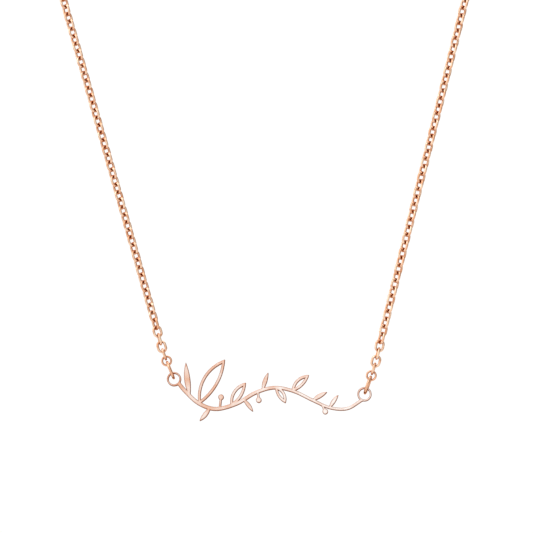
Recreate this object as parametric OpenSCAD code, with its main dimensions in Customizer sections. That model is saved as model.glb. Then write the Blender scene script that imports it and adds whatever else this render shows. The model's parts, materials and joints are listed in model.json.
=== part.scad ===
/* [Nameplate] */
// Distance between the centres of the two eyelets, measured level
eyelet_span = 41.2; // [36:0.2:48]
// How much lower the right eyelet sits than the left one
eyelet_drop = 3.6; // [0:0.1:5]
// Outside diameter of an eyelet
eyelet_od = 3.1; // [2.9:0.1:3.6]
// Inside diameter of an eyelet
eyelet_id = 2.3; // [2.2:0.1:2.5]
// Thickness of the flat plate
plate_t = 1; // [0.6:0.1:1.1]
// Depth of the stem's lowest wave below the line between the eyelets
stem_dip = 5.9; // [4:0.1:8]
// Width of the stem at the left eyelet
stem_w = 0.85; // [0.75:0.05:1.4]
// Width of the stem at the right eyelet
stem_w_thin = 0.6; // [0.5:0.05:0.7]
// Length of the longest leaf
leaf_l = 11.4; // [9:0.2:13]
// Line width of an open leaf
leaf_line = 0.62; // [0.5:0.02:0.8]
// Diameter of a berry
berry_d = 1.2; // [1:0.1:1.8]

/* [Rings at the plate] */
// Outside diameter of the jump ring in each eyelet
jump_ring_od = 4.3; // [4.2:0.1:5]
// Wire of the jump rings
jump_ring_wire = 0.6; // [0.5:0.05:0.7]
// Outside diameter of the small round ring that ends each chain
end_ring_od = 2.4; // [2.4:0.05:2.8]
// Wire of the small round rings
end_ring_wire = 0.45; // [0.35:0.05:0.45]

/* [Chain] */
// Outside width of a link
link_w = 2.2; // [2:0.05:2.5]
// Outside length of a link
link_l = 2.96; // [2.9:0.02:3.4]
// Wire of a link
link_wire = 0.55; // [0.45:0.01:0.56]

/* [Clasp] */
// Outside length of the clasp's hoop
clasp_l = 8.6; // [7:0.2:12]
// Outside width of the clasp's hoop
clasp_w = 4.6; // [4:0.2:6]
// Thickness of the clasp's hoop
clasp_wire = 1.2; // [0.9:0.1:1.4]
// Outside diameter of the clasp's small eye
clasp_eye_od = 2.5; // [2.4:0.1:3]
// Outside diameter of the ring that the clasp hooks into
clasp_ring_od = 4; // [3.8:0.1:5]
// Wire of the clasp's eye and of its ring
clasp_ring_wire = 0.5; // [0.45:0.05:0.6]

/* [Fit] */
// Play between two rings or links that hang in each other
play = 0.12; // [0.1:0.01:0.2]
// Play between a jump ring and the rim of its eyelet, so that the plate can swing
swing_play = 0.55; // [0.5:0.05:0.6]

/* [Hang] */
// Height of the straight strand from the left eyelet up to the collarbone
strand_h = 83.5; // [76:0.5:90]
// How far the rings at the plate lean in from the straight strand to their eyelet
ring_lean = 0.65; // [0:0.05:0.8]
// How far the middle of the nameplate hangs to the right of the nape
plate_shift = 1; // [-2:0.1:2]

/* [Hidden] */
$fn = 48;
ROSE_GOLD = [0.91, 0.72, 0.62];
DARK_ROSE_GOLD = [0.82, 0.6, 0.49];

// The chosen points of the right-hand strand, from the top of its straight stretch at the
// collarbone, round the side of the neck and up to the nape. The left-hand one mirrors them.
ROUTE = [
  [44.1, -62, -50], [47, -61.4, -39.5], [49.6, -57.5, -30], [51.2, -49.5, -22.5], [50.9, -39, -17],
  [48.4, -28.5, -12.5], [43, -18.6, -8.5], [35.5, -10.4, -5], [26, -4.2, -2.4], [16, -0.4, -0.6]
];
STRAIGHT_PARTS = 14; // equal parts of the straight stretch that the route's curve runs through
ROUTE_STEPS = 12; // steps of the curve from one point of the route to the next

// Where the eyelets are: the plate hangs level with them, in the plane of the straight strands
plate_y = ROUTE[0].y;
eyelet_left = [plate_shift - eyelet_span / 2, ROUTE[0].z - strand_h];
eyelet_right = eyelet_left + [eyelet_span, -eyelet_drop];
eyelet_mid_r = (eyelet_od + eyelet_id) / 4;

// The plate's stem, from one eyelet to the other: each row is a share of the eyelets' distance
// and a share of the stem's dip
STEM = [
  [0.06, -0.42], [0.13, -0.82], [0.22, -0.98], [0.33, -0.72], [0.43, -0.26], [0.53, -0.02],
  [0.63, -0.1], [0.73, -0.38], [0.82, -0.6], [0.91, -0.58]
];
STEM_STEPS = 8; // steps of the stem's curve from one row to the next
STEM_START = -42; // angle at which the stem leaves the left eyelet
STEM_END = -112; // angle at which it meets the right eyelet

// The plate's leaves: place along the stem, angle, length as a share of the longest leaf,
// width as a share of the leaf's own length, and whether it is an open outline
AT = 0; ANGLE = 1; LENGTH = 2; WIDTH = 3; OPEN = 4;
LEAVES = [
  [0.145, 60, 1, 0.31, true],
  [0.085, 97, 0.68, 0.17, false],
  [0.2, 232, 0.34, 0.25, false],
  [0.31, 58, 0.54, 0.36, true],
  [0.375, -52, 0.32, 0.24, false],
  [0.48, 72, 0.38, 0.22, false],
  [0.545, -58, 0.38, 0.4, true],
  [0.63, 44, 0.46, 0.36, true],
  [0.74, 30, 0.34, 0.24, false],
  [0.83, 56, 0.32, 0.24, false]
];
LEAF_LEAN = 0.62; // share of a leaf's width on its fuller side
LEAF_ROOT = 0.3; // how far a leaf's foot reaches past the middle of the stem

// The plate's berries: place along the stem, angle, and stalk as a share of the longest leaf
BERRIES = [[0.25, 84, 0.22], [0.455, -84, 0.16], [0.79, -66, 0.14]];
STALK_W = 0.5; // width of a berry's stalk

TURN = 45; // how far the links of a strand are turned from facing forward
TURN_LINKS = 4; // links over which the first ones turn that far
CLASP_EYE_SINK = 0.8; // share of the eye's wire that is sunk into the clasp's hoop

function unit(v) = v / norm(v);
function turned(angle) = [cos(angle), sin(angle)];

// Point at share t of the way from b to c on the smooth curve through a, b, c and d
function bend(a, b, c, d, t) =
  (2 * b + (c - a) * t + (2 * a - 5 * b + 4 * c - d) * t ^ 2 + (3 * b - a - 3 * c + d) * t ^ 3) / 2;

// The smooth curve through all points of p
function smooth(p, steps) =
  let (last = len(p) - 1, q = concat([2 * p[0] - p[1]], p, [2 * p[last] - p[last - 1]]))
  concat(
    [for (i = [0:last - 1], k = [0:steps - 1]) bend(q[i], q[i + 1], q[i + 2], q[i + 3], k / steps)],
    [p[last]]
  );

// Distance run along a curve at each of its points
function distances(c) =
  [for (i = 0, s = 0; i < len(c); i = i + 1, s = s + (i < len(c) ? norm(c[i] - c[i - 1]) : 0)) s];

// Point at distance s along a curve
function place(c, run, s) =
  [for (axis = [0:len(c[0]) - 1]) lookup(s, [for (i = [0:len(c) - 1]) [run[i], c[i][axis]]])];

function heading(c, i) = unit(c[min(i + 1, len(c) - 1)] - c[max(i - 1, 0)]);

// Half of the clear length inside a ring or link
function reach(outside, wire) = outside / 2 - wire;

stem = smooth(
  concat(
    [eyelet_left + eyelet_mid_r * turned(STEM_START)],
    [for (row = STEM) eyelet_left + [row[0] * eyelet_span, row[1] * stem_dip - row[0] * eyelet_drop]],
    [eyelet_right + eyelet_mid_r * turned(STEM_END)]
  ),
  STEM_STEPS
);
stem_run = distances(stem);
stem_length = stem_run[len(stem) - 1];
function stem_place(share) = place(stem, stem_run, share * stem_length);
function stem_width(share) = stem_w_thin + (stem_w - stem_w_thin) * cos(90 * share) ^ 2;

// One side of the stem: the stem's curve, moved sideways by half its width
function stem_side(side) = [
  for (i = [0:len(stem) - 1])
    let (h = heading(stem, i), w = stem_width(stem_run[i] / stem_length))
    stem[i] + side * w / 2 * [-h.y, h.x]
];

module stem_shape() {
  right = stem_side(-1);
  polygon(concat(stem_side(1), [for (i = [len(right) - 1:-1:0]) right[i]]));
}

// A disc whose edge passes through both ends of a leaf and stands out by h between them
module leaf_side(l, h, inset) {
  r = (l ^ 2 / 4 + h ^ 2) / (2 * h);
  translate([l / 2, h - r]) circle(r - inset);
}

module leaf_shape(l, w, inset = 0) {
  intersection() {
    leaf_side(l, w * LEAF_LEAN, inset);
    mirror([0, 1]) leaf_side(l, w * (1 - LEAF_LEAN), inset);
  }
}

module leaf(l, w, open) {
  if (open) difference() {
    leaf_shape(l, w);
    leaf_shape(l, w, leaf_line);
  }
  else leaf_shape(l, w);
}

module berry(stalk) {
  translate([0, -STALK_W / 2]) square([stalk, STALK_W]);
  translate([stalk, 0]) circle(d = berry_d);
}

// Extrudes a shape drawn in the plane of the plate to the plate's thickness
module cut_from_plate() {
  translate([0, plate_y + plate_t / 2, 0]) rotate([90, 0, 0]) linear_extrude(plate_t) children();
}

module nameplate() {
  eyelets = [eyelet_left, eyelet_right];
  color(ROSE_GOLD) difference() {
    union() {
      cut_from_plate() stem_shape();
      for (e = eyelets) cut_from_plate() translate(e) circle(d = eyelet_od);
      for (e = [0, 1]) cut_from_plate() translate(stem_place(e)) circle(d = stem_width(e));
      for (row = LEAVES)
        cut_from_plate() translate(stem_place(row[AT]) - LEAF_ROOT * turned(row[ANGLE]))
          rotate(row[ANGLE]) leaf(row[LENGTH] * leaf_l, row[LENGTH] * row[WIDTH] * leaf_l, row[OPEN]);
      for (row = BERRIES) cut_from_plate() translate(stem_place(row[AT])) rotate(row[ANGLE])
        berry(row[LENGTH] * leaf_l);
    }
    for (e = eyelets) translate([e.x, plate_y, e.y]) rotate([90, 0, 0])
      cylinder(d = eyelet_id, h = 2 * plate_t, center = true);
  }
}

// A round wire ring and an oval link, both in the XZ plane
module ring(outside, wire) {
  rotate([90, 0, 0]) rotate_extrude() translate([(outside - wire) / 2, 0]) circle(d = wire);
}

module link(l, w, wire) {
  r = (w - wire) / 2;
  straight = l - w;
  for (end = [0, 1]) mirror([0, 0, end]) translate([0, 0, straight / 2]) rotate([90, 0, 0])
    rotate_extrude(angle = 180) translate([r, 0]) circle(d = wire);
  for (x = [-r, r]) translate([x, 0, -straight / 2]) cylinder(d = wire, h = straight);
}

// Puts a child at a point, its Z along the strand and its X across it
module set(at, along, across) {
  y = cross(along, across);
  multmatrix([
    [across.x, y.x, along.x, at.x],
    [across.y, y.y, along.y, at.y],
    [across.z, y.z, along.z, at.z]
  ]) children();
}

// The clasp lies along X behind the nape, with its eye on the left and its ring on the right
clasp_y = clasp_wire / 2;
clasp_eye_x = -(clasp_l / 2 + clasp_eye_od / 2 - CLASP_EYE_SINK * clasp_ring_wire);
clasp_ring_x = reach(clasp_l, clasp_wire) + reach(clasp_ring_od, clasp_ring_wire) - play;

module clasp() {
  color(DARK_ROSE_GOLD) translate([0, clasp_y, 0]) {
    rotate([0, 90, 0]) link(clasp_l, clasp_w, clasp_wire);
    translate([clasp_eye_x, 0, 0]) ring(clasp_eye_od, clasp_ring_wire);
  }
}

module clasp_ring() {
  color(DARK_ROSE_GOLD) translate([clasp_ring_x, clasp_y, 0]) rotate([90, 0, 0])
    ring(clasp_ring_od, clasp_ring_wire);
}

// A strand runs from its eyelet's centre along the route to the clasp. Distances along it:
// the jump ring, the end ring, then the links
jump_ring_s = eyelet_id / 2 + reach(jump_ring_od, jump_ring_wire) - swing_play;
end_ring_reach = reach(end_ring_od, end_ring_wire);
end_ring_s = jump_ring_s + reach(jump_ring_od, jump_ring_wire) + end_ring_reach - play;
first_link_s = end_ring_s + end_ring_reach + reach(link_l, link_wire) - play;
pitch_most = 2 * reach(link_l, link_wire) - play;

// Points of the strand on one side, 1 for the right and -1 for the left
function strand(side) =
  let (
    e = side > 0 ? eyelet_right : eyelet_left,
    eyelet = [e.x, plate_y, e.y],
    foot = eyelet + [side * ring_lean, 0, 0],
    top = [side * ROUTE[0].x, ROUTE[0].y, ROUTE[0].z],
    end_x = side > 0 ? clasp_ring_x : clasp_eye_x
  )
  smooth(
    concat(
      [eyelet],
      [for (k = [1:STRAIGHT_PARTS - 1]) foot + (top - foot) * k / STRAIGHT_PARTS],
      [for (p = ROUTE) [side * p.x, p.y, p.z]],
      [[end_x, clasp_y, 0]]
    ),
    ROUTE_STEPS
  );

function strand_heading(c, run, s) =
  unit(place(c, run, s + pitch_most / 2) - place(c, run, s - pitch_most / 2));

// The direction across the strand that is nearest to v, and that direction turned round the strand
function across(v, along) = unit(v - (v * along) * along);
function across_turned(along, across, angle) = cos(angle) * across + sin(angle) * cross(along, across);

// Directions across the strand at each of the headings, carried along it without twist
function carried(headings) = [
  for (
    i = 0, v = across([1, 0, 0], headings[0]);
    i < len(headings);
    i = i + 1, v = i < len(headings) ? across(v, headings[i]) : v
  ) v
];

// Distance of a side's last link, which hangs in the clasp's eye or ring
function last_link_s(run, side) =
  run[len(run) - 1] + play - reach(link_l, link_wire)
  - (side > 0 ? reach(clasp_ring_od, clasp_ring_wire) : reach(clasp_eye_od, clasp_ring_wire));

// Angle of direction v round the strand, from its across direction
function angle_round(v, along, across) = atan2(v * cross(along, across), v * across);

// The same turn less half turns, as near to the usual turn as can be
function nearest_turn(angle) = angle - 180 * round((angle - TURN) / 180);

// Every second link stands square to the one before. The first ones face as the end ring does,
// and the hidden ones turn slowly until the last is square to the clasp's eye or ring
function link_turn(i, count, last_turn) =
  let (hidden = max(0, (i - count / 2) / (count / 2 - 1)))
  90 * (i % 2) + 90 + TURN * min(1, max(0, (i - 1) / TURN_LINKS)) + (last_turn - TURN) * hidden;

// The links of a side: as many as fill the strand from its end ring to the clasp at even
// distances, with at least the play between them
module strand_links(side) {
  c = strand(side);
  run = distances(c);
  last_s = last_link_s(run, side);
  count = ceil((last_s - first_link_s) / pitch_most) + 1;
  pitch = (last_s - first_link_s) / (count - 1);
  headings = [for (i = [0:count - 1]) strand_heading(c, run, first_link_s + i * pitch)];
  acrosses = carried(headings);
  square_to = side > 0 ? [0, 0, 1] : [0, 1, 0];
  angle = angle_round(square_to, headings[count - 1], acrosses[count - 1]) - 90 * ((count - 1) % 2) - 90;
  last_turn = nearest_turn(angle);
  for (i = [0:count - 1]) set(
    place(c, run, first_link_s + i * pitch),
    headings[i],
    across_turned(headings[i], acrosses[i], link_turn(i, count, last_turn))
  ) link(link_l, link_w, link_wire);
}

// A ring of a side's strand at distance s, turned round the strand by an angle
module strand_ring(side, s, angle, outside, wire) {
  c = strand(side);
  run = distances(c);
  along = strand_heading(c, run, s);
  set(place(c, run, s), along, across_turned(along, across([1, 0, 0], along), angle))
    ring(outside, wire);
}

module jump_ring(side) {
  color(DARK_ROSE_GOLD) strand_ring(side, jump_ring_s, 90, jump_ring_od, jump_ring_wire);
}

module end_ring(side) {
  color(DARK_ROSE_GOLD) strand_ring(side, end_ring_s, 0, end_ring_od, end_ring_wire);
}

module chain(side) {
  color(ROSE_GOLD) strand_links(side);
}

nameplate();
jump_ring(-1);  // jump_ring_left
jump_ring(1);  // jump_ring_right
end_ring(-1);  // end_ring_left
end_ring(1);  // end_ring_right
chain(-1);  // chain_left
chain(1);  // chain_right
clasp();
clasp_ring();
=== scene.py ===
"""A nameplate necklace in polished rose gold: its looks, built round its solid frame."""

import json
import logging
import math
from dataclasses import dataclass, field
from enum import Enum

import bpy
import numpy as np
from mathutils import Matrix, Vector

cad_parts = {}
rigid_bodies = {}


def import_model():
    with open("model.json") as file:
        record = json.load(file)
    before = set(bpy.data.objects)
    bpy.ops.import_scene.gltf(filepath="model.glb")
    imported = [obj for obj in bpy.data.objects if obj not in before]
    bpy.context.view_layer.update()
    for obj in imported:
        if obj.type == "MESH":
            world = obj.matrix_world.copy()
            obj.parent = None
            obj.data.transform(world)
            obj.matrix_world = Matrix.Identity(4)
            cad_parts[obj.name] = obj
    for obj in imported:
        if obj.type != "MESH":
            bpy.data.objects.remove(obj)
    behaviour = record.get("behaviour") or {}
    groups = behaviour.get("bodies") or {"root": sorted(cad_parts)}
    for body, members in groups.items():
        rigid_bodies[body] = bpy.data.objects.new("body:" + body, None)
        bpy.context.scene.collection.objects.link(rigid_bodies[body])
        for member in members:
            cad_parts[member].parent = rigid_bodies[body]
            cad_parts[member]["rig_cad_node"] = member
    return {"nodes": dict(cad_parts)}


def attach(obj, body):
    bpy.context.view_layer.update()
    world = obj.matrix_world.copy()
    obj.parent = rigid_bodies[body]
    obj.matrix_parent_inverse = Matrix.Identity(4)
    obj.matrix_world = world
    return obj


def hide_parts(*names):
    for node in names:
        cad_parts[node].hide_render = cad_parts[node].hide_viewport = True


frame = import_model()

MM = 0.001
PHOTO_PX = 533
PX_PER_MM = 4.6
LOG = logging.getLogger("necklace")

Pair = tuple[float, float]
Triple = tuple[float, float, float]
Shades = tuple[Pair, ...]
Socket = bpy.types.NodeSocket
Value = float | Triple | Socket

# The part of the noise that is spread from 0 to 1: the narrower it is, the crisper its patches.
SOFT_PATCHES: Pair = (0.3, 0.7)
CRISP_PATCHES: Pair = (0.4, 0.6)
NOISE_DETAIL = 2.0


class Side(Enum):
    """The two sides of the necklace, as the viewer sees them."""

    LEFT = "left"
    RIGHT = "right"


class Ring(Enum):
    """The kinds of wire ring between the plate and a chain."""

    JUMP = "jump_ring"
    END = "end_ring"


class Body(Enum):
    """The bodies that pieces ride on."""

    NECKLACE = "necklace"
    PLATE = "plate"


class Slot(Enum):
    """The material slots of the record."""

    PLATE = "plate_metal"
    CHAIN = "chain_metal"
    RING = "ring_metal"


@dataclass
class Sheet:
    """A node sheet, with short ways to add nodes and to join them.

    Attributes:
        tree: the node tree of a material or of the surroundings.
    """

    tree: bpy.types.NodeTree

    def node(self, kind: str) -> bpy.types.Node:
        """Adds a shader node of a kind."""
        return self.tree.nodes.new(f"ShaderNode{kind}")

    def feed(self, socket: Socket, value: Value) -> None:
        """Sets a node's socket, or links another socket to it.

        Args:
            socket: the socket that is set.
            value: a number, a tone or vector, or the socket that it takes its value from.
        """
        if isinstance(value, Socket):
            self.tree.links.new(value, socket)
        elif socket.type == "RGBA":
            socket.default_value = (*value, 1.0)
        else:
            socket.default_value = value

    def own(self, what: str) -> Socket:
        """Gives a point's place or direction in the axes of what is painted.

        Args:
            what: "Object" for its place on an object, "Normal" for the direction that it faces
                there, "Generated" for its direction in the surroundings.

        Returns:
            The place or direction.
        """
        return self.node("TexCoord").outputs[what]

    def axis(self, vector: Socket, name: str) -> Socket:
        """Gives a vector's X, Y or Z.

        Args:
            vector: the vector.
            name: the axis.

        Returns:
            The number along that axis.
        """
        split = self.node("SeparateXYZ")
        self.feed(split.inputs["Vector"], vector)
        return split.outputs[name]

    def maths(self, operation: str, *values: Value) -> Socket:
        """Works out one number from others.

        Args:
            operation: the name of the sum.
            values: its numbers, in order.

        Returns:
            The result.
        """
        node = self.node("Math")
        node.operation = operation
        for socket, value in zip(node.inputs, values):
            self.feed(socket, value)
        return node.outputs["Value"]

    def agreement(self, direction: Socket, other: Socket) -> Socket:
        """Tells how nearly two directions are one.

        Args:
            direction: a direction of length 1.
            other: another one.

        Returns:
            A number from -1, where they are opposite, to 1, where they are the same.
        """
        node = self.node("VectorMath")
        node.operation = "DOT_PRODUCT"
        self.feed(node.inputs[0], direction)
        self.feed(node.inputs[1], other)
        return node.outputs["Value"]

    def span(self, value: Value, source: Pair, target: tuple[Value, Value] = (0.0, 1.0)) -> Socket:
        """Maps a number from one range to another, and keeps it in there.

        Args:
            value: the number.
            source: the range that it comes from.
            target: what it becomes at either end of that range.

        Returns:
            The mapped number.
        """
        node = self.node("MapRange")
        self.feed(node.inputs["Value"], value)
        for name, end in zip(("From Min", "From Max", "To Min", "To Max"), (*source, *target)):
            self.feed(node.inputs[name], end)
        return node.outputs["Result"]

    def mix(self, share: Value, low: Value, high: Value, blend: str = "MIX") -> Socket:
        """Mixes two tones.

        Args:
            share: how much of the second one there is.
            low: the first tone.
            high: the second tone.
            blend: how they are put together.

        Returns:
            The mixed tone.
        """
        node = self.node("Mix")
        node.data_type, node.blend_type = "RGBA", blend
        self.feed(node.inputs["Factor"], share)
        for socket, tone in zip([s for s in node.inputs if s.type == "RGBA"], (low, high)):
            self.feed(socket, tone)
        return next(s for s in node.outputs if s.type == "RGBA")

    def noise(self, size_mm: float) -> Socket:
        """Adds soft patches that are fixed to the object.

        Args:
            size_mm: how wide a patch is.

        Returns:
            A number that drifts between 0 and 1, mostly near 0.5.
        """
        node = self.node("TexNoise")
        node.inputs["Scale"].default_value = 1 / (size_mm * MM)
        node.inputs["Detail"].default_value = NOISE_DETAIL
        self.feed(node.inputs["Vector"], self.own("Object"))
        return node.outputs["Fac"]

    def bump(self, height: Socket, depth_mm: float, under: Socket | None = None) -> Socket:
        """Makes the surface look uneven.

        Args:
            height: how high each point stands, from 0 to 1.
            depth_mm: how high 1 is.
            under: the unevenness that this one lies on.

        Returns:
            The direction that each point of the surface faces.
        """
        node = self.node("Bump")
        node.inputs["Distance"].default_value = depth_mm * MM
        self.feed(node.inputs["Height"], height)
        if under:
            self.feed(node.inputs["Normal"], under)
        return node.outputs["Normal"]

    def rounded(self, reach_mm: float) -> Socket:
        """Gives the direction that each point would face if sharp edges were round.

        Args:
            reach_mm: how far the rounding reaches.

        Returns:
            The direction, in the axes of the object.
        """
        bevel = self.node("Bevel")
        bevel.inputs["Radius"].default_value = reach_mm * MM
        turned = self.node("VectorTransform")
        turned.vector_type, turned.convert_from, turned.convert_to = "NORMAL", "WORLD", "OBJECT"
        self.feed(turned.inputs["Vector"], bevel.outputs["Normal"])
        return turned.outputs["Vector"]

    def shades(self, value: Socket, shades: Shades) -> Socket:
        """Turns a number from -1 to 1 into a grey.

        Args:
            value: the number.
            shades: pairs of a number and the grey there.

        Returns:
            The grey.
        """
        node = self.node("ValToRGB")
        row = node.color_ramp.elements
        while len(row) < len(shades):
            row.new(0.5)
        for element, (at, shade) in zip(row, shades):
            element.position = (at + 1) / 2
            element.color = (shade, shade, shade, 1)
        self.feed(node.inputs["Fac"], self.span(value, (-1.0, 1.0)))
        return node.outputs["Color"]


@dataclass(frozen=True)
class CutEdge:
    """A plate's cut walls, which polishing reached less well than its faces, so they are rougher.

    Painted shade darkens the walls all round and the faces close to them.

    Attributes:
        shade: painted shade of the walls, linear, a darker colour in place of the dark that they
            mirror.
        tone: painted shade on the faces close to a wall, as a share of the rest.
        roughness: the walls' roughness.
        facing: how squarely, of 1, a point faces along Y where the face ends and where all is wall.
        fade_mm: how far that painted shade reaches into the faces.
        fade: how strong it is there.
        turn: how nearly, of 1, rounded and true direction agree where that tone begins and is whole.
    """

    shade: Triple
    tone: Triple
    roughness: float = 0.35
    facing: Pair = (0.97, 0.7)
    fade_mm: float = 0.3
    fade: float = 0.9
    turn: Pair = (1.0, 0.98)

    def paint(self, sheet: Sheet, colour: Socket, gloss: Socket) -> tuple[Socket, Socket]:
        """Tells the walls from the faces along Y; paints shade on them and near them all round, and
        roughens them.

        Args:
            sheet: the sheet that the nodes go on.
            colour: the tone of the faces.
            gloss: their roughness.

        Returns:
            The tone and the roughness of each point.
        """
        normal = sheet.own("Normal")
        wall = sheet.span(sheet.maths("ABSOLUTE", sheet.axis(normal, "Y")), self.facing)
        agreement = sheet.agreement(sheet.rounded(self.fade_mm), normal)
        near = sheet.span(agreement, self.turn, (0.0, self.fade))
        # painted shade: the faces darker close to a wall, the walls darker still
        edge_shaded = sheet.mix(wall, sheet.mix(near, colour, self.tone, "MULTIPLY"), self.shade)
        return edge_shaded, sheet.span(wall, (0.0, 1.0), (gloss, self.roughness))


@dataclass(frozen=True)
class RoseGold:
    """Polished rose gold, faintly uneven as hand-finished metal is.

    Attributes:
        name: the material's name.
        colour: what the metal reflects, linear.
        blush: the redder tone that it drifts to.
        roughness: lowest and highest roughness over the surface.
        edge: tone that it takes on where it is seen at a glancing angle.
        drift_mm: size of the patches of tone.
        painted_light_sweep_mm: painted light and shade, the object's X where blush prevails and
            where
        colour does, darker at the one end and paler at the other; None for neither.
        grain_mm: size of the finest unevenness of the polish.
        grain_depth_mm: its depth.
        wave_mm: size of the slow waves that polishing leaves.
        wave_depth_mm: their depth.
        painted_crevice_shade: painted shade, a darker tone of the metal deep between wires, where
            surfaces hide each other from the light.
        crevice_shade_mm: how near another surface has to be for that painted shade.
        crevice_shade_open: how open, of 1, a point lies where that painted shade prevails and where
            it ends.
        cut: how the cut walls look; None where nothing is cut.
    """

    name: str
    colour: Triple
    blush: Triple
    roughness: Pair = (0.1, 0.18)
    edge: Triple = (0.8, 0.5, 0.35)
    drift_mm: float = 6.0
    painted_light_sweep_mm: Pair | None = None
    grain_mm: float = 0.5
    grain_depth_mm: float = 0.004
    wave_mm: float = 4.0
    wave_depth_mm: float = 0.06
    # painted shade: the tone that ambient occlusion paints between wires
    painted_crevice_shade: Triple = (0.37, 0.09, 0.014)
    crevice_shade_mm: float = 0.9
    crevice_shade_open: Pair = (0.4, 0.92)
    cut: CutEdge | None = None

    def material(self) -> bpy.types.Material:
        """Makes the finish on its first use.

        Returns:
            The material, shared by all pieces of this finish.
        """
        made = bpy.data.materials.get(self.name)
        if made:
            return made
        made = bpy.data.materials.new(self.name)
        made.use_nodes = True
        sheet = Sheet(made.node_tree)
        shader = made.node_tree.nodes["Principled BSDF"]
        shader.inputs["Metallic"].default_value = 1.0
        sheet.feed(shader.inputs["Specular Tint"], self.edge)
        grain = sheet.noise(self.grain_mm)
        colour = self._tone(sheet)
        gloss = sheet.span(grain, SOFT_PATCHES, self.roughness)
        # painted shade on and beside the cut walls; their higher roughness is the metal's own
        if self.cut:
            colour, gloss = self.cut.paint(sheet, colour, gloss)
        # painted shade deep between wires goes into the base colour
        sheet.feed(shader.inputs["Base Color"], self._paint_crevice_shade(sheet, colour))
        sheet.feed(shader.inputs["Roughness"], gloss)
        slow = sheet.bump(sheet.noise(self.wave_mm), self.wave_depth_mm)
        sheet.feed(shader.inputs["Normal"], sheet.bump(grain, self.grain_depth_mm, slow))
        return made

    def _tone(self, sheet: Sheet) -> Socket:
        """Mixes the metal's two tones, with painted light and shade along X where a sweep is given.

        Args:
            sheet: the sheet that the nodes go on.

        Returns:
            The tone of each point.
        """
        share = sheet.span(sheet.noise(self.drift_mm), CRISP_PATCHES)
        # painted light and shade: blush towards one end, paler colour towards the other
        if self.painted_light_sweep_mm:
            ends = (self.painted_light_sweep_mm[0] * MM, self.painted_light_sweep_mm[1] * MM)
            along = sheet.span(sheet.axis(sheet.own("Object"), "X"), ends)
            both = sheet.maths("ADD", share, along)
            share = sheet.maths("MULTIPLY", both, 1 / 2)
        return sheet.mix(share, self.blush, self.colour)

    def _paint_crevice_shade(self, sheet: Sheet, colour: Socket) -> Socket:
        """Paints shade into a tone between wires that lie close together.

        Args:
            sheet: the sheet that the nodes go on.
            colour: the tone in the open.

        Returns:
            The tone of each point.
        """
        # painted shade: ambient occlusion darkens the base colour where surfaces lie close
        occlusion = sheet.node("AmbientOcclusion")
        occlusion.inputs["Distance"].default_value = self.crevice_shade_mm * MM
        return sheet.mix(sheet.span(occlusion.outputs["AO"], self.crevice_shade_open), self.painted_crevice_shade, colour)


PLATE_FINISH = RoseGold(
    "rose_gold_plate",
    colour=(1.0, 0.98, 0.95),
    blush=(0.81, 0.47, 0.32),
    roughness=(0.14, 0.2),
    drift_mm=3.5,
    # painted light: redder and darker to the left, paler to the right
    painted_light_sweep_mm=(-20.0, 16.0),
    grain_depth_mm=0.001,
    wave_depth_mm=0.04,
    # painted shade of the cut walls and of the faces beside them
    cut=CutEdge(shade=(0.22, 0.095, 0.06), tone=(0.8, 0.44, 0.3)),
)
CHAIN_FINISH = RoseGold(
    "rose_gold_chain",
    colour=(1.0, 0.72, 0.52),
    blush=(0.86, 0.45, 0.26),
    drift_mm=1.2,
)
RING_FINISH = RoseGold(
    "rose_gold_ring",
    colour=(0.88, 0.5, 0.32),
    blush=(0.74, 0.38, 0.22),
    # reach of the painted shade between the ring's wires
    crevice_shade_mm=1.6,
)


def dress(piece: bpy.types.Object, finish: RoseGold, body: Body) -> None:
    """Gives a piece its looks, and puts a new piece on its body.

    Args:
        piece: the piece's object.
        finish: what it is finished in.
        body: the body that a new piece rides on; the frame's own nodes ride on theirs already.
    """
    piece.data.materials.clear()
    piece.data.materials.append(finish.material())
    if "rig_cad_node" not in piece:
        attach(piece, body.value)


@dataclass
class Nameplate:
    """The flat openwork plate, its rims softened as polishing leaves them.

    Attributes:
        node: the plate's CAD node.
        weld_mm: points nearer than this are joined first.
        flat_angle: facets within this many degrees count as one face.
        rim_mm: width of the softened rim.
        rim_angle: edges sharper than this many degrees are softened.
        rim_segments: facets across the rim.
    """

    node: str = "nameplate"
    weld_mm: float = 0.001
    flat_angle: float = 0.5
    rim_mm: float = 0.14
    rim_angle: float = 35.0
    rim_segments: int = 3

    def build(self) -> None:
        """Softens the plate's rims and dresses it."""
        plate = frame["nodes"][self.node]
        self._soften(plate)
        dress(plate, PLATE_FINISH, Body.PLATE)

    def _soften(self, plate: bpy.types.Object) -> None:
        """Joins the plate's coplanar facets and rounds the edges between face and wall.

        Args:
            plate: the plate's object, which gets the modifiers.
        """
        weld = plate.modifiers.new("weld", "WELD")
        weld.merge_threshold = self.weld_mm * MM
        flat = plate.modifiers.new("flat", "DECIMATE")
        flat.decimate_type = "DISSOLVE"
        flat.angle_limit = math.radians(self.flat_angle)
        rim = plate.modifiers.new("rim", "BEVEL")
        rim.width = self.rim_mm * MM
        rim.segments = self.rim_segments
        rim.limit_method = "ANGLE"
        rim.angle_limit = math.radians(self.rim_angle)
        rim.use_clamp_overlap = False
        rim.harden_normals = True


@dataclass
class WireRing:
    """A round ring of wire between the plate and a chain.

    Attributes:
        kind: which of the rings.
        side: the side that it is on.
    """

    kind: Ring
    side: Side

    def build(self) -> None:
        """Dresses the ring."""
        node = f"{self.kind.value}_{self.side.value}"
        dress(frame["nodes"][node], RING_FINISH, Body.NECKLACE)


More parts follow.
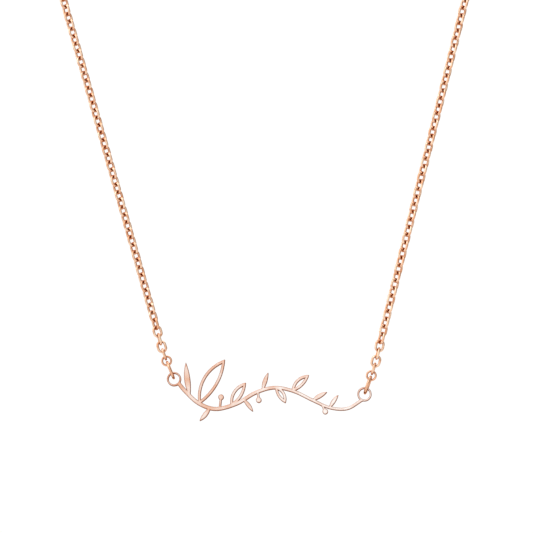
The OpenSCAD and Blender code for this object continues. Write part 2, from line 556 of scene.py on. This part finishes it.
@dataclass
class CableChain:
    """One half of the chain: oval wire links, finely meshed where the CAD links lie.

    Attributes:
        side: which half of the chain.
        around: points round a link's oval.
        section: points round its wire.
        play_mm: the gap that the CAD links keep; these are that much shorter, so that they touch.
        same_mm: points of the CAD links nearer than this are one point.
    """

    side: Side
    around: int = 32
    section: int = 12
    play_mm: float = 0.12
    same_mm: float = 0.001

    @property
    def node(self) -> str:
        """Name of the chain's CAD node."""
        return f"chain_{self.side.value}"

    def build(self) -> int:
        """Makes the links as one mesh that replaces the CAD node.

        Returns:
            The number of links.
        """
        centres, turns, (length, width, wire) = self._find_links()
        points, quads = self._link(length - self.play_mm * MM, width, wire)
        count = len(centres)
        all_points = centres[:, None] + np.einsum("nij,kj->nki", turns, points)
        all_quads = quads + (np.arange(count) * len(points))[:, None, None]
        mesh = bpy.data.meshes.new(f"links_{self.side.value}")
        mesh.from_pydata(all_points.reshape(-1, 3).tolist(), [], all_quads.reshape(-1, 4).tolist())
        mesh.shade_smooth()
        piece = bpy.data.objects.new(mesh.name, mesh)
        bpy.context.scene.collection.objects.link(piece)
        dress(piece, CHAIN_FINISH, Body.NECKLACE)
        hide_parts(self.node)
        return count

    def _find_links(self) -> tuple[np.ndarray, np.ndarray, np.ndarray]:
        """Finds where the CAD links lie.

        Returns:
            Their centres, their turns (columns: along, across and through the link), and a
            link's length, width and wire.
        """
        mesh = frame["nodes"][self.node].data
        points = np.zeros(len(mesh.vertices) * 3, np.float32)
        mesh.vertices.foreach_get("co", points)
        points = points.reshape(-1, 3).astype(float)
        edges = np.zeros(len(mesh.edges) * 2, np.int32)
        mesh.edges.foreach_get("vertices", edges)
        labels = self._islands(points, edges.reshape(-1, 2))
        links = [self._measure(points[labels == label]) for label in np.unique(labels)]
        centres, turns, sizes = zip(*links)
        return np.array(centres), np.array(turns), np.median(sizes, axis=0)

    @staticmethod
    def _measure(own: np.ndarray) -> tuple[np.ndarray, np.ndarray, np.ndarray]:
        """Measures one link along its own axes.

        Args:
            own: the link's points.

        Returns:
            Its centre, its turn and its size along, across and through.
        """
        _, axes = np.linalg.eigh(np.cov((own - own.mean(0)).T))
        turn = axes[:, ::-1]
        turn = turn * [1, 1, np.sign(np.linalg.det(turn))]
        local = own @ turn
        low, high = local.min(0), local.max(0)
        return turn @ ((low + high) / 2), turn, high - low

    def _islands(self, points: np.ndarray, edges: np.ndarray) -> np.ndarray:
        """Tells the links of a mesh apart.

        Args:
            points: the mesh's points.
            edges: its edges, as rows of two point numbers.

        Returns:
            A number for each point, the same for all points of one link.
        """
        grid = np.round(points / (self.same_mm * MM)).astype(np.int64)
        _, same = np.unique(grid, axis=0, return_inverse=True)
        same = same.reshape(-1)
        a, b = same[edges[:, 0]], same[edges[:, 1]]
        labels = np.arange(same.max() + 1)
        while True:
            low = np.minimum(labels[a], labels[b])
            new = labels.copy()
            np.minimum.at(new, a, low)
            np.minimum.at(new, b, low)
            new = new[new]
            if (new == labels).all():
                return labels[same]
            labels = new

    def _link(self, length: float, width: float, wire: float) -> tuple[np.ndarray, np.ndarray]:
        """Meshes one link about its centre.

        Args:
            length: its outside length, along X.
            width: its outside width, along Y.
            wire: the wire's diameter.

        Returns:
            Its points, and its faces as rows of four point numbers.
        """
        bend_r, straight, half = (width - wire) / 2, (length - width) / 2, self.around // 2
        angles = np.radians(np.concatenate([np.linspace(-90, 90, half), np.linspace(90, 270, half)]))
        ends = np.concatenate([np.full(half, straight), np.full(half, -straight)])
        out = np.stack([np.cos(angles), np.sin(angles), np.zeros_like(angles)], 1)
        middle = out * bend_r + ends[:, None] * [1, 0, 0]
        turns = (np.arange(self.section) * 2 * math.pi / self.section)[None, :, None]
        sideways = np.cos(turns) * out[:, None] + np.sin(turns) * [0, 0, 1]
        points = middle[:, None] + wire / 2 * sideways
        i, j = np.meshgrid(np.arange(self.around), np.arange(self.section), indexing="ij")
        i2, j2 = (i + 1) % self.around, (j + 1) % self.section
        quads = np.stack([a * self.section + b for a, b in ((i, j), (i2, j), (i2, j2), (i, j2))], -1)
        return points.reshape(-1, 3), quads.reshape(-1, 4)


@dataclass
class Clasp:
    """The plain clasp and its ring, behind the nape.

    Attributes:
        nodes: their CAD nodes.
    """

    nodes: tuple[str, ...] = ("clasp", "clasp_ring")

    def build(self) -> None:
        """Dresses both."""
        for node in self.nodes:
            dress(frame["nodes"][node], RING_FINISH, Body.NECKLACE)


@dataclass(frozen=True)
class Softbox:
    """One soft area light.

    Attributes:
        name: the light's name.
        place: where it stands, in metres.
        size: its width and height, in metres.
        glow: how bright its face is, against a white wall of 1.
    """

    name: str
    place: Triple
    size: Pair
    glow: float

    def build(self, target: Vector) -> None:
        """Stands the light and aims it.

        Args:
            target: the point that it faces.
        """
        light = bpy.data.lights.new(self.name, "AREA")
        light.shape = "RECTANGLE"
        light.size, light.size_y = self.size
        light.energy = self.glow * math.pi * self.size[0] * self.size[1]
        lamp = bpy.data.objects.new(self.name, light)
        lamp.location = self.place
        lamp.rotation_mode = "QUATERNION"
        lamp.rotation_quaternion = (target - Vector(self.place)).to_track_quat("-Z", "Y")
        bpy.context.scene.collection.objects.link(lamp)


@dataclass(frozen=True)
class Floor:
    """The plain pale floor.

    Attributes:
        height: where it lies, in metres.
        half: half of its width, in metres.
        pale: its tone.
        paler: the tone that it drifts to.
        roughness: how matt it is.
        patch_mm: size of the patches of tone.
    """

    height: float = -0.32
    half: float = 6.0
    pale: Triple = (0.84, 0.84, 0.84)
    paler: Triple = (0.88, 0.88, 0.88)
    roughness: float = 0.9
    patch_mm: float = 330.0

    def build(self) -> None:
        """Lays the floor and paints it."""
        mesh = bpy.data.meshes.new("floor")
        corners = ((-1, -1), (1, -1), (1, 1), (-1, 1))
        points = [(x * self.half, y * self.half, self.height) for x, y in corners]
        mesh.from_pydata(points, [], [(0, 1, 2, 3)])
        mesh.materials.append(self._paint())
        floor = bpy.data.objects.new("floor", mesh)
        bpy.context.scene.collection.objects.link(floor)

    def _paint(self) -> bpy.types.Material:
        """Mixes the floor's matt paint.

        Returns:
            The paint's material.
        """
        paint = bpy.data.materials.new("floor_paint")
        paint.use_nodes = True
        sheet = Sheet(paint.node_tree)
        shader = paint.node_tree.nodes["Principled BSDF"]
        shader.inputs["Roughness"].default_value = self.roughness
        tone = sheet.mix(sheet.noise(self.patch_mm), self.pale, self.paler)
        sheet.feed(shader.inputs["Base Color"], tone)
        return paint


@dataclass(frozen=True)
class Room:
    """The white surroundings, darker low down and far to the right.

    Attributes:
        across: shades from the far left to the far right.
        upward: shades from straight down to straight up.
        backward: shades from the front to the back.
    """

    across: Shades = ((-1, 0.9), (-0.35, 1.0), (0.3, 1.0), (0.7, 0.5), (1, 0.45))
    upward: Shades = ((-1, 0.4), (-0.3, 0.8), (-0.15, 1.04), (0.5, 1.04), (1, 1.1))
    backward: Shades = ((-1, 1.02), (-0.85, 0.9), (0, 0.85), (0.5, 1.0), (1, 1.0))

    def build(self) -> None:
        """Paints the surroundings, each point by its direction."""
        world = bpy.data.worlds.new("room")
        bpy.context.scene.world = world
        world.use_nodes = True
        sheet = Sheet(world.node_tree)
        direction = sheet.own("Generated")
        across = sheet.shades(sheet.axis(direction, "X"), self.across)
        upward = sheet.shades(sheet.axis(direction, "Z"), self.upward)
        backward = sheet.shades(sheet.axis(direction, "Y"), self.backward)
        shade = sheet.mix(1.0, sheet.mix(1.0, across, upward, "MULTIPLY"), backward, "MULTIPLY")
        sheet.feed(world.node_tree.nodes["Background"].inputs["Color"], shade)


@dataclass(frozen=True)
class Camera:
    """The photograph's camera.

    Attributes:
        look_at: the photograph's middle, in the plane of the plate, in metres.
        azimuth: the side angle that it looks from, in degrees.
        elevation: the height angle that it looks from, in degrees.
        distance: how far it stands off, in metres.
        sensor_mm: width of its sensor.
        nearest: how near it sees, in metres.
    """

    look_at: Triple = (0.43 * MM, -62 * MM, -108.9 * MM)
    azimuth: float = 3.0
    elevation: float = -10.0
    distance: float = 0.8
    sensor_mm: float = 36.0
    nearest: float = 0.01

    def build(self) -> None:
        """Stands the camera, its frame as wide as the photograph's."""
        a, e = math.radians(self.azimuth), math.radians(self.elevation)
        back = Vector((math.sin(a) * math.cos(e), -math.cos(a) * math.cos(e), math.sin(e)))
        lens = bpy.data.cameras.new("camera")
        lens.sensor_width = self.sensor_mm
        lens.lens = self.sensor_mm * self.distance / (PHOTO_PX / PX_PER_MM * MM)
        lens.clip_start = self.nearest
        camera = bpy.data.objects.new("camera", lens)
        camera.location = Vector(self.look_at) + back * self.distance
        camera.rotation_mode = "QUATERNION"
        camera.rotation_quaternion = (-back).to_track_quat("-Z", "Y")
        bpy.context.scene.collection.objects.link(camera)
        bpy.context.scene.camera = camera


@dataclass
class Studio:
    """All that stands round the necklace.

    Attributes:
        camera: the camera.
        floor: the floor.
        room: the surroundings.
        lights: the softboxes.
    """

    camera: Camera = Camera()
    floor: Floor = Floor()
    room: Room = Room()
    lights: list[Softbox] = field(default_factory=lambda: [
        Softbox("key", place=(-0.6, -1.2, 1.1), size=(1.0, 0.9), glow=1.6),
        Softbox("side", place=(-1.3, -0.3, 0.3), size=(0.8, 0.8), glow=1.3),
        Softbox("top", place=(0.2, 0.4, 1.2), size=(1.0, 0.8), glow=1.4),
    ])

    def build(self) -> None:
        """Builds floor, surroundings, camera and lights."""
        for part in (self.floor, self.room, self.camera):
            part.build()
        for light in self.lights:
            light.build(Vector(self.camera.look_at))
        bpy.context.scene.view_settings.view_transform = "Standard"


def main() -> None:
    """Builds every piece in order and logs each step and the number of links."""
    logging.basicConfig(level=logging.INFO, format="%(message)s")
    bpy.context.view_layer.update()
    Nameplate().build()
    LOG.info("nameplate dressed")
    for side in Side:
        for kind in Ring:
            WireRing(kind, side).build()
        LOG.info("rings dressed on the %s", side.value)
        LOG.info("%d links on the %s", CableChain(side).build(), side.value)
    Clasp().build()
    LOG.info("clasp dressed")
    Studio().build()
    LOG.info("studio built")


if __name__ == "__main__":
    main()
